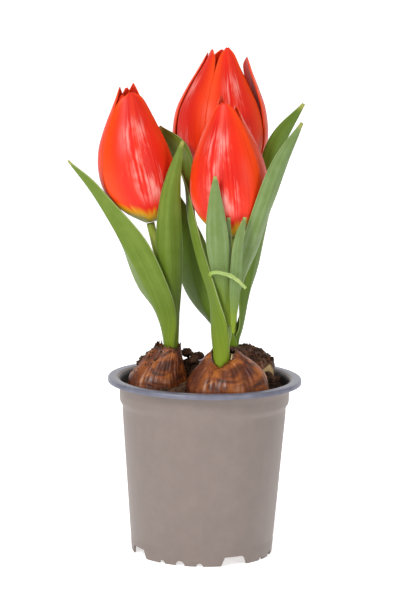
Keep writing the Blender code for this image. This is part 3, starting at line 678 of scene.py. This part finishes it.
def petal_point(bloom, petal, s, t, phase):
    """A point of a petal: s runs from its foot to its tip, t from -1 to 1 across it."""
    azimuth, half_angle, layer, length, splay = petal
    axis = Vector(bloom["tip"]) - Vector(bloom["foot"])
    tall = axis.length
    level = s * length
    radius = along_profile(level) * bloom["radius"]
    slope = (along_profile(level + PETAL_STEP) - along_profile(level - PETAL_STEP)) * bloom["radius"]
    rise = (level + PETAL_STEP - max(level - PETAL_STEP, 0.0)) * tall
    tilt = math.hypot(slope, rise)
    inset = layer * PETAL_LAYER
    radius = max(radius - inset * rise / tilt, PETAL_SMALLEST) + splay * s**2
    z = level * tall + inset * max(slope, 0.0) / tilt
    belly = math.sin(math.pi * min(s, 1.0))
    radius += PETAL_RIB * belly * math.exp(-(t / PETAL_RIB_WIDTH) ** 2)
    radius -= PETAL_PUCKER * belly * math.cos(5.0 * t + phase)
    radius += PETAL_WAVE * s * t**4 * math.sin(11.0 * s + phase)
    spread = half_angle * float(np.interp(s, OUTLINE[:, 0], OUTLINE[:, 1]))
    spread *= 1.0 - TIP_LOSS * s**TIP_POWER
    angle = math.radians(azimuth + t * spread)
    bow = bloom["bow"] * math.sin(math.pi * min(level, 1.0))
    local = Vector((radius * math.cos(angle) + bow, radius * math.sin(angle), z))
    turn = Vector((0.0, 0.0, 1.0)).rotation_difference(axis)
    return Vector(bloom["foot"]) + turn @ local


def add_petals(finish):
    """Every petal of every bloom."""
    for key, bloom in BLOOMS.items():
        for number, petal in enumerate(bloom["petals"]):
            phase = 1.7 * number + len(key)
            grid = np.zeros((PETAL_ROWS + 1, PETAL_COLUMNS + 1, 3))
            for i in range(PETAL_ROWS + 1):
                s = i / PETAL_ROWS
                for j in range(PETAL_COLUMNS + 1):
                    t = 2.0 * j / PETAL_COLUMNS - 1.0
                    grid[i, j] = petal_point(bloom, petal, s, t, phase)
            name = "petal_%s_%d" % (key, number + 1)
            piece = add_piece("fine_" + name, sheet_mesh(grid, name), finish)
            thicken(piece, PETAL, -1.0)
            declare(piece, name)


def add_leaves():
    """Every leaf, with lighter and darker skins as they stand in light or shade."""
    light = leaf_finish("leaf_light", (0.090, 0.150, 0.005), (0.185, 0.262, 0.001), (0.155, 0.225, 0.032))
    deep = leaf_finish("leaf_deep", (0.065, 0.125, 0.002), (0.125, 0.225, 0.001), (0.105, 0.185, 0.012))
    waxy = leaf_finish("leaf_waxy", (0.115, 0.180, 0.045), (0.200, 0.290, 0.003), (0.200, 0.280, 0.130))
    pale = leaf_finish("leaf_pale", (0.30, 0.42, 0.12), (0.30, 0.42, 0.06), (0.48, 0.56, 0.22))
    skins = {"leaf_back_left": deep, "leaf_back_right": deep, "leaf_front_curled": pale,
             "leaf_front_centre": waxy, "leaf_front_small": waxy, "leaf_front_slim": waxy,
             "leaf_front_long_right": waxy}
    for number, name in enumerate(LEAVES):
        grid = leaf_grid(leaf_stations(name), LEAF_ROWS, LEAF_COLUMNS, 2.1 * number)
        piece = add_piece("fine_" + name, sheet_mesh(grid, name), skins.get(name, light))
        thicken(piece, BLADE, 0.0)
        declare(piece, name)


def add_stems(finish):
    """Round stems on smooth curves, a little thinner at the foot."""
    for key in STEM_POINTS:
        curve = bpy.data.curves.new("stem_" + key, "CURVE")
        curve.dimensions = "3D"
        curve.bevel_depth = STEM_RADIUS * MM
        curve.bevel_resolution = 6
        curve.use_fill_caps = True
        points = spline(STEM_POINTS[key], STEM_STEPS)
        line = curve.splines.new("POLY")
        line.points.add(len(points) - 1)
        for i, spot in enumerate(line.points):
            spot.co = (*(points[i] * MM), 1.0)
            spot.radius = 1.0 - STEM_TAPER * (1.0 - min(1.0, 3 * i / len(points)))
        mesh = made_mesh(add_object("stem_" + key, curve), "stem_" + key)
        weld(mesh)
        mesh.shade_smooth()
        piece = add_piece("fine_stem_" + key, mesh, finish)
        declare(piece, "stem_" + key)


def weld(mesh):
    """Join corners that lie on each other."""
    shape = bmesh.new()
    shape.from_mesh(mesh)
    bmesh.ops.remove_doubles(shape, verts=shape.verts, dist=WELD_DISTANCE)
    shape.to_mesh(mesh)
    shape.free()


def bulb_point(key, angle, height, grow):
    """A point of a bulb's surface: angle round it, height from 0 at the base to 1 at the shoot."""
    bulb = BULBS[key]
    low, middle, high = bulb["z"]
    if height < 0.5:
        tilt = math.pi * (0.5 - height)
        ring = math.cos(tilt) ** 0.85 if height > 0.001 else 0.0
        z = middle - math.sin(tilt) * (middle - low + grow)
        lean = 0.0
    else:
        knots = SHOULDERS[key]
        steps = np.linspace(0.0, 1.0, len(knots))
        ring = max(0.0, float(np.interp(2 * height - 1, steps, knots[:, 0])))
        z = middle + float(np.interp(2 * height - 1, steps, knots[:, 1])) * (high - middle + grow)
        lean = (1.0 - ring**2) ** 2
    swell = 1.0 + 0.03 * math.sin(3 * angle + 1.0) + 0.02 * math.sin(5 * angle + 4 * height)
    side, bulge = bulb["skew"]
    swell += 4 * ring * (1 - ring) * bulge * math.cos(angle - math.radians(side))
    x = bulb["at"][0] * (1 - lean) + bulb["hole"][0] * lean
    y = bulb["at"][1] * (1 - lean) + bulb["hole"][1] * lean
    x += (bulb["half"][0] + grow) * swell * ring * math.cos(angle)
    y += (bulb["half"][1] + grow) * swell * ring * math.sin(angle)
    away = math.hypot(x - bulb["hole"][0], y - bulb["hole"][1]) / NOTCH_REACH
    front = max(0.0, 1.0 - abs(math.remainder(angle - NOTCH_FACING, 2 * math.pi)) / NOTCH_HALF)
    if height > 0.5:
        z -= max(0.0, bulb["notch"] - grow) * front * math.exp(-away * away)
    return Vector((x, y, z))


def tunic_point(key, angle, height):
    """A point of a bulb's wrinkled skin, whose torn edge stands up round the shoot."""
    crease = 0.16 * math.sin(23 * angle + 9 * height) * math.sin(7 * angle + 12 * height)
    crease += 0.10 * math.sin(41 * angle - 6 * height) + 0.14 * math.sin(30 * height + 3 * angle)
    point = bulb_point(key, angle, height, TUNIC_GAP + TUNIC + crease)
    ramp = max(0.0, (height - COLLAR_START) / (TUNIC_TOP[key] - COLLAR_START))
    point.z += ramp**2 * (COLLAR[key] + tear(key, angle)) + ramp**6 * shreds(angle)
    return point


def tear(key, angle):
    """How far the skin's torn edge stands up or down; the front bulb has a point at its left."""
    wave = 0.45 * math.sin(3 * angle + 0.7) + 0.35 * math.sin(5 * angle + 2.1)
    if key == "front":
        away = abs(math.remainder(angle - math.pi, 2 * math.pi))
        wave += 1.3 * max(0.0, 1.0 - away / 0.5)
    return wave


def shreds(angle):
    """The torn edge's small teeth."""
    teeth = abs(math.sin(8.5 * angle + 0.4)) * 0.9 - abs(math.sin(13.0 * angle + 1.9)) * 0.7
    return teeth + 0.35 * math.sin(31 * angle + 2.0) + 0.2 * math.sin(57 * angle)


def bulb_mesh(key, grow, name, sides=BULB_SIDES, rings=BULB_RINGS):
    """A closed bulb, grown outwards by some millimetres."""
    shape = bmesh.new()
    bmesh.ops.create_uvsphere(shape, u_segments=sides, v_segments=rings, radius=1.0)
    for v in shape.verts:
        angle = math.atan2(v.co.y, v.co.x)
        height = math.asin(max(-1.0, min(1.0, v.co.z))) / math.pi + 0.5
        v.co = bulb_point(key, angle, height, grow) * MM
    bmesh.ops.recalc_face_normals(shape, faces=shape.faces)
    return smooth_mesh(shape, name)


def cut(mesh, cutters, name, crease):
    """A mesh with each cutter mesh taken out of it, smooth but for edges above an angle in degrees."""
    item = add_object(name, mesh)
    knives = [add_object("knife", cutter) for cutter in cutters]
    for knife in knives:
        step = item.modifiers.new("Cut", "BOOLEAN")
        step.operation = "DIFFERENCE"
        step.solver = "EXACT"
        step.object = knife
    result = made_mesh(item, name)
    for knife in knives:
        bpy.data.objects.remove(knife, do_unlink=True)
    result.shade_smooth()
    result.set_sharp_from_angle(angle=math.radians(crease))
    return result


def add_cylinder(shape, radius, depth, sides):
    """The corners of a new upright cylinder round the origin."""
    made = bmesh.ops.create_cone(shape, cap_ends=True, segments=sides, radius1=radius * MM,
                                 radius2=radius * MM, depth=depth * MM)
    return made["verts"]


def shoot_mesh(bulb):
    """The hole where a bulb's shoot comes out."""
    shape = bmesh.new()
    for v in add_cylinder(shape, bulb["bore"], 2 * SHOOT_DEPTH, SHOOT_SIDES):
        v.co += Vector((*bulb["hole"], bulb["z"][2])) * MM
    return smooth_mesh(shape, "shoot")


def add_bulbs(flesh, skin):
    """Each bulb's flesh, with the torn skin over it. The skins come back by plant."""
    skins = {}
    for key, bulb in BULBS.items():
        name = "bulb_" + key
        mesh = cut(bulb_mesh(key, 0.0, name), [shoot_mesh(bulb)], name, 50)
        declare(add_piece("fine_" + name, mesh, flesh), name)
        name = "tunic_" + key
        grid = np.zeros((TUNIC_ROWS, BULB_SIDES * 2 + 1, 3))
        for i in range(TUNIC_ROWS):
            height = TUNIC_FOOT + (TUNIC_TOP[key] - TUNIC_FOOT) * i / (TUNIC_ROWS - 1)
            for j in range(BULB_SIDES * 2 + 1):
                grid[i, j] = tunic_point(key, math.pi * j / BULB_SIDES, height)
        mesh = sheet_mesh(grid, name)
        weld(mesh)
        skins[key] = thicken(add_piece("fine_" + name, mesh, skin), TUNIC - TUNIC_SLACK, -1.0)
        declare(skins[key], name)
    return skins


def soil_height(x, y):
    """The soil's uneven surface, heaped in the middle and more behind the bulbs."""
    bore = NECK_RADIUS - WALL
    inside = max(0.0, 1.0 - math.hypot(x, y) / bore)
    bumps = 0.9 * math.sin(0.33 * x + 0.8) * math.cos(0.29 * y + 0.4) + 0.5 * math.sin(0.71 * x - 0.5 * y)
    away = math.hypot(x - MOUND[0], y - MOUND[1]) / MOUND_SPREAD
    mound = MOUND_HEIGHT * math.exp(-away * away)
    return SOIL_EDGE_Z + SOIL_CROWN * inside**0.6 + bumps * min(1.0, 3 * inside) + mound


def soil_grit(x, y):
    """Small lumps on the soil's surface."""
    lumps = 0.35 * math.sin(1.9 * x + 1.3 * y) * math.sin(1.6 * y - 0.9 * x)
    return lumps + 0.2 * math.sin(3.7 * x + 2.9 * y)


def add_soil(finish):
    """The soil, turned to the pot's inside, heaped, then given a socket for each bulb."""
    bore = NECK_RADIUS - WALL
    inner = WALL_TOP_RADIUS - WALL
    profile = [(r, 0.0) for r in np.linspace(0.0, bore - GAP, SOIL_RINGS + 1)]
    profile += [(bore - GAP, POT_HEIGHT - 9.6), (inner - GAP - 0.2, POT_HEIGHT - 13.0),
                (inner - GAP - 0.3, POT_HEIGHT - 18.0), (BASE_RADIUS - 0.9, FLOOR_Z + 1.4),
                (BOSS_RADIUS + 2.2, FLOOR_Z + 1.4), (0.0, FLOOR_Z + 1.4)]
    shape = bmesh.new()
    verts = [shape.verts.new((r * MM, 0.0, z * MM)) for r, z in profile]
    edges = [shape.edges.new((a, b)) for a, b in zip(verts, verts[1:])]
    bmesh.ops.spin(shape, geom=verts + edges, axis=(0, 0, 1), cent=(0, 0, 0),
                   angle=2 * math.pi, steps=SOIL_SIDES, use_merge=True)
    bmesh.ops.remove_doubles(shape, verts=shape.verts, dist=WELD_DISTANCE)
    bmesh.ops.recalc_face_normals(shape, faces=shape.faces)
    for v in shape.verts:
        if v.co.z == 0.0:
            x = v.co.x / MM
            y = v.co.y / MM
            edge = min(1.0, (bore - GAP - math.hypot(x, y)) / 2.0)
            v.co.z = (soil_height(x, y) + soil_grit(x, y) * edge) * MM
    grow = TUNIC_GAP + TUNIC + SOCKET_GAP
    sockets = [bulb_mesh(key, grow, "socket", SOCKET_SIDES, SOCKET_RINGS) for key in BULBS]
    piece = add_piece("fine_soil", cut(smooth_mesh(shape, "soil"), sockets, "soil", 60), finish)
    declare(piece, "soil")
    return piece


def add_clumps(finish):
    """Lumps of soil on the bulbs' shoulders and between them, as one mesh."""
    shape = bmesh.new()
    for number, (x, y, z, size) in enumerate(CLUMPS):
        made = bmesh.ops.create_icosphere(shape, subdivisions=4, radius=size * MM)
        for v in made["verts"]:
            spot = v.co / (size * MM)
            lump = 0.22 * noise.noise(spot * 1.6 + Vector((number, 0, 0)))
            lump += 0.16 * noise.noise(spot * 4.0 + Vector((0, number, 0)))
            v.co *= 1.0 + lump
            v.co.z *= 0.7
            v.co += Vector((x, y, z)) * MM
    piece = add_piece("soil_clumps", smooth_mesh(shape, "soil_clumps"), finish)
    declare(piece, None)
    return piece


def crumb_tree(finish):
    """Geometry nodes that scatter uneven crumbs over the faces that look up."""
    tree = bpy.data.node_groups.new("crumbs", "GeometryNodeTree")
    tree.interface.new_socket("Geometry", in_out="INPUT", socket_type="NodeSocketGeometry")
    for name in CRUMB_INPUTS:
        kind = "NodeSocketInt" if name == "Seed" else "NodeSocketFloat"
        tree.interface.new_socket(name, in_out="INPUT", socket_type=kind)
    tree.interface.new_socket("Geometry", in_out="OUTPUT", socket_type="NodeSocketGeometry")

    def node(kind, links, out=0, **settings):
        made = tree.nodes.new(kind)
        for key, value in settings.items():
            setattr(made, key, value)
        for key, value in links.items():
            if isinstance(value, bpy.types.NodeSocket):
                tree.links.new(value, made.inputs[key])
            else:
                made.inputs[key].default_value = value
        return made.outputs[out]

    ends = tree.nodes.new("NodeGroupInput").outputs
    up = node("ShaderNodeSeparateXYZ", {0: node("GeometryNodeInputNormal", {})}, out="Z")
    high = node("ShaderNodeSeparateXYZ", {0: node("GeometryNodeInputPosition", {})}, out="Z")
    faces_up = node("FunctionNodeCompare", {0: up, 1: CRUMB_UPWARD}, operation="GREATER_THAN")
    above = node("FunctionNodeCompare", {0: high, 1: ends["Lowest"]}, operation="GREATER_THAN")
    chosen = node("FunctionNodeBooleanMath", {0: faces_up, 1: above})
    spots = node("GeometryNodeDistributePointsOnFaces",
                 {"Mesh": ends["Geometry"], "Selection": chosen, "Density": ends["Density"],
                  "Seed": ends["Seed"]}, out="Points")
    crumb = node("GeometryNodeMeshIcoSphere", {"Radius": 1.0, "Subdivisions": 2})
    turn = node("FunctionNodeRandomValue", {"Max": (FULL_TURN, FULL_TURN, FULL_TURN), "Seed": ends["Seed"]},
                data_type="FLOAT_VECTOR")
    size = node("FunctionNodeRandomValue", {2: ends["Smallest"], 3: ends["Largest"], "Seed": ends["Seed"]},
                out=1)
    shape = node("FunctionNodeRandomValue",
                 {"Min": CRUMB_SLIM, "Max": CRUMB_STOUT, "Seed": CRUMB_SHAPE_SEED}, data_type="FLOAT_VECTOR")
    scale = node("ShaderNodeVectorMath", {0: shape, "Scale": size}, operation="SCALE")
    copies = node("GeometryNodeInstanceOnPoints",
                  {"Points": spots, "Instance": crumb, "Rotation": turn, "Scale": scale})
    real = node("GeometryNodeRealizeInstances", {0: copies})
    rough = node("ShaderNodeTexNoise", {"Scale": DENT_SCALE, "Detail": 2.0}, out="Color")
    centred = node("ShaderNodeVectorMath", {0: rough, 1: (0.5, 0.5, 0.5)}, operation="SUBTRACT")
    dent = node("ShaderNodeVectorMath", {0: centred, "Scale": DENT_DEPTH}, operation="SCALE")
    moved = node("GeometryNodeSetPosition", {0: real, "Offset": dent})
    painted = node("GeometryNodeSetMaterial", {0: moved, "Material": finish})
    tree.links.new(painted, tree.nodes.new("NodeGroupOutput").inputs[0])
    return tree


def add_crumbs(tree, ground, name, finish):
    """A plain mesh of crumbs scattered over a piece."""
    item = add_object(name, ground.data.copy())
    maker = item.modifiers.new("Crumbs", "NODES")
    maker.node_group = tree
    values = dict(zip(CRUMB_INPUTS, CRUMBS[name]))
    for socket in tree.interface.items_tree:
        if socket.in_out == "INPUT" and socket.name in values:
            maker[socket.identifier] = values[socket.name]
    mesh = made_mesh(item, name)
    mesh.shade_smooth()
    declare(add_piece(name, mesh, finish), None)


def pot_profile():
    """Radius and height from the floor's middle, up the inside, over the rim and down the outside."""
    top = POT_HEIGHT
    bore = NECK_RADIUS - WALL
    edge = RIM_RADIUS
    lip = edge - RIM_WIDTH
    inside = [
        (0.0, 1.0), (BOSS_RADIUS - 0.6, 1.0), (BOSS_RADIUS + 1.8, FLOOR_Z + 1.0),
        (BASE_RADIUS - 0.9, FLOOR_Z + 1.0), (BASE_RADIUS - 0.4, FLOOR_Z + 1.5),
        (WALL_TOP_RADIUS - WALL, top - 16.0), (WALL_TOP_RADIUS - WALL + 0.2, top - 13.0),
        (bore, top - 10.5), (bore + 0.4, top - 2.6), (bore + 0.8, top - 1.2), (lip - 0.5, top - 0.4)]
    rim = [(lip, top - 0.12), (lip + 0.5, top), (edge - 0.9, top), (edge - 0.35, top - 0.15),
           (edge, top - 0.6), (edge, top - RIM_DROP), (edge - 0.25, top - RIM_DROP - 0.1),
           (edge - WALL, top - RIM_DROP), (edge - WALL - 0.1, top - 1.3),
           (edge - WALL - 0.5, top - 1.0), (lip + 0.9, top - 1.0), (lip + 0.2, top - 1.2)]
    neck = [(NECK_RADIUS + 0.5, top - 2.4), (NECK_RADIUS + 0.40, top - 4.3), (NECK_RADIUS + 0.12, top - 4.9),
            (NECK_RADIUS + 0.05, top - 6.7), (NECK_RADIUS, top - 10.4), (NECK_RADIUS - 0.15, top - 11.3),
            (WALL_TOP_RADIUS + 0.25, top - 13.0), (WALL_TOP_RADIUS + 0.02, top - 13.8),
            (WALL_TOP_RADIUS, top - 16.5)]
    low = BASE_RADIUS + 0.6
    foot = [(low + 0.12, 8.4), (low - 0.12, 7.8), (low, 6.0), (BASE_RADIUS + 0.1, 0.5),
            (BASE_RADIUS - 0.15, 0.0), (BASE_RADIUS - WALL, 0.0), (BASE_RADIUS - WALL + 0.2, FLOOR_Z),
            (BOSS_RADIUS + 1.6, FLOOR_Z), (BOSS_RADIUS, 0.0), (0.0, 0.0)]
    return inside + rim + neck + foot


def add_wedge(shape, angle):
    """A trapezium notch, wider at the bottom."""
    made = bmesh.ops.create_cube(shape, size=1.0)
    for v in made["verts"]:
        half = NOTCH_WIDTH / 2 if v.co.z < 0 else NOTCH_WIDTH / 2 - 2.0
        z = -1.0 if v.co.z < 0 else NOTCH_HEIGHT
        v.co = Vector((math.copysign(3.0, v.co.x) * MM, math.copysign(half, v.co.y) * MM, z * MM))
    swing(made["verts"], angle, BASE_RADIUS - 0.4, 0.0)


def add_rod(shape, angle, radius):
    """A round notch: a rod lying across the foot ring, low enough to be cut by its top half."""
    corners = add_cylinder(shape, radius, 5.0, 32)
    for v in corners:
        v.co = Vector((v.co.z, v.co.y, -v.co.x))
    swing(corners, angle, BASE_RADIUS, 0.05)


def add_drain(shape, angle):
    """A round drain hole through the floor."""
    swing(add_cylinder(shape, DRAIN_RADIUS, 6.0, 40), angle, DRAIN_CIRCLE, FLOOR_Z + 0.5)


def swing(corners, angle, x, z):
    """Move new corners out along X and swing them to their angle about Z."""
    move = Matrix.Rotation(math.radians(angle), 4, "Z") @ Matrix.Translation((x * MM, 0.0, z * MM))
    for v in corners:
        v.co = move @ v.co


def add_pot(finish):
    """The pot, turned and then notched."""
    mesh = bpy.data.meshes.new("pot_line")
    points = [(r * MM, 0.0, z * MM) for r, z in pot_profile()]
    mesh.from_pydata(points, [(i, i + 1) for i in range(len(points) - 1)], [])
    line = add_object("pot_line", mesh)
    turn = line.modifiers.new("Turn", "SCREW")
    turn.steps = POT_SIDES
    turn.render_steps = POT_SIDES
    turn.use_merge_vertices = True
    turn.merge_threshold = WELD_DISTANCE
    turn.use_normal_calculate = True
    turned = made_mesh(line, "pot")
    shape = bmesh.new()
    for quarter in range(4):
        middle = NOTCH_TURN + 90.0 * quarter
        add_wedge(shape, middle)
        for offset, radius in SMALL_NOTCHES:
            add_rod(shape, middle + 45.0 + offset, radius)
        add_drain(shape, middle + 45.0)
    bmesh.ops.recalc_face_normals(shape, faces=shape.faces)
    mesh = cut(turned, [smooth_mesh(shape, "notches")], "pot", 40)
    declare(add_piece("fine_pot", mesh, finish), "pot")


def add_floor(finish):
    """A white sweep: a floor that curves up behind."""
    points = spline(SWEEP_LINE, SWEEP_STEPS)
    grid = np.zeros((SWEEP_STEPS, 2, 3))
    for i, (y, z) in enumerate(points):
        for j, x in enumerate((-SWEEP_HALF, SWEEP_HALF)):
            grid[i, j] = (x, y, max(z, 0.0))
    sweep = add_piece("white_sweep", sheet_mesh(grid, "white_sweep"), finish)


def add_studio():
    """White surroundings and soft rectangular lamps."""
    world = bpy.data.worlds.new("studio")
    world.use_nodes = True
    world.node_tree.nodes["Background"].inputs["Color"].default_value = (1.0, 1.0, 1.0, 1.0)
    world.node_tree.nodes["Background"].inputs["Strength"].default_value = WORLD_LIGHT
    bpy.context.scene.world = world
    bpy.context.scene.view_settings.view_transform = "Standard"
    for name, (place, (wide, tall), power) in LAMPS.items():
        lamp = bpy.data.lights.new(name, "AREA")
        lamp.shape = "RECTANGLE"
        lamp.size = wide
        lamp.size_y = tall
        lamp.energy = power
        item = add_object(name, lamp)
        item.location = place
        item.rotation_euler = (Vector(LAMP_AIM) - Vector(place)).to_track_quat("-Z", "Y").to_euler()


def add_camera():
    """The photograph's camera."""
    down = math.radians(CAMERA_DOWN)
    lean = math.radians(CAMERA_LEAN)
    look = Vector((0.0, math.cos(down), -math.sin(down)))
    rise = Vector((0.0, math.sin(down), math.cos(down)))
    side = Vector((1.0, 0.0, 0.0))
    right = side * math.cos(lean) + rise * math.sin(lean)
    up = rise * math.cos(lean) - side * math.sin(lean)
    lens = bpy.data.cameras.new("camera")
    lens.lens = CAMERA_LENS
    lens.sensor_width = CAMERA_SENSOR
    lens.clip_end = CAMERA_FAR
    item = add_object("camera", lens)
    turn = Matrix((right, up, -look)).transposed().to_4x4()
    item.matrix_world = Matrix.Translation(Vector(CAMERA_AT) * MM) @ turn
    bpy.context.scene.camera = item


peat = soil_finish()
chestnut = tunic_finish()
add_camera()
add_studio()
add_floor(floor_finish())
add_pot(pot_finish())
soil = add_soil(peat)
clumps = add_clumps(peat)
crumbs = crumb_tree(peat)
add_crumbs(crumbs, soil, "soil_crumbs", peat)
add_crumbs(crumbs, clumps, "clump_crumbs", peat)
skins = add_bulbs(flesh_finish(), chestnut)
add_crumbs(crumbs, skins["back"], "back_crumbs", peat)
add_crumbs(crumbs, skins["left"], "left_crumbs", peat)
add_stems(stem_finish())
add_leaves()
add_petals(petal_finish())
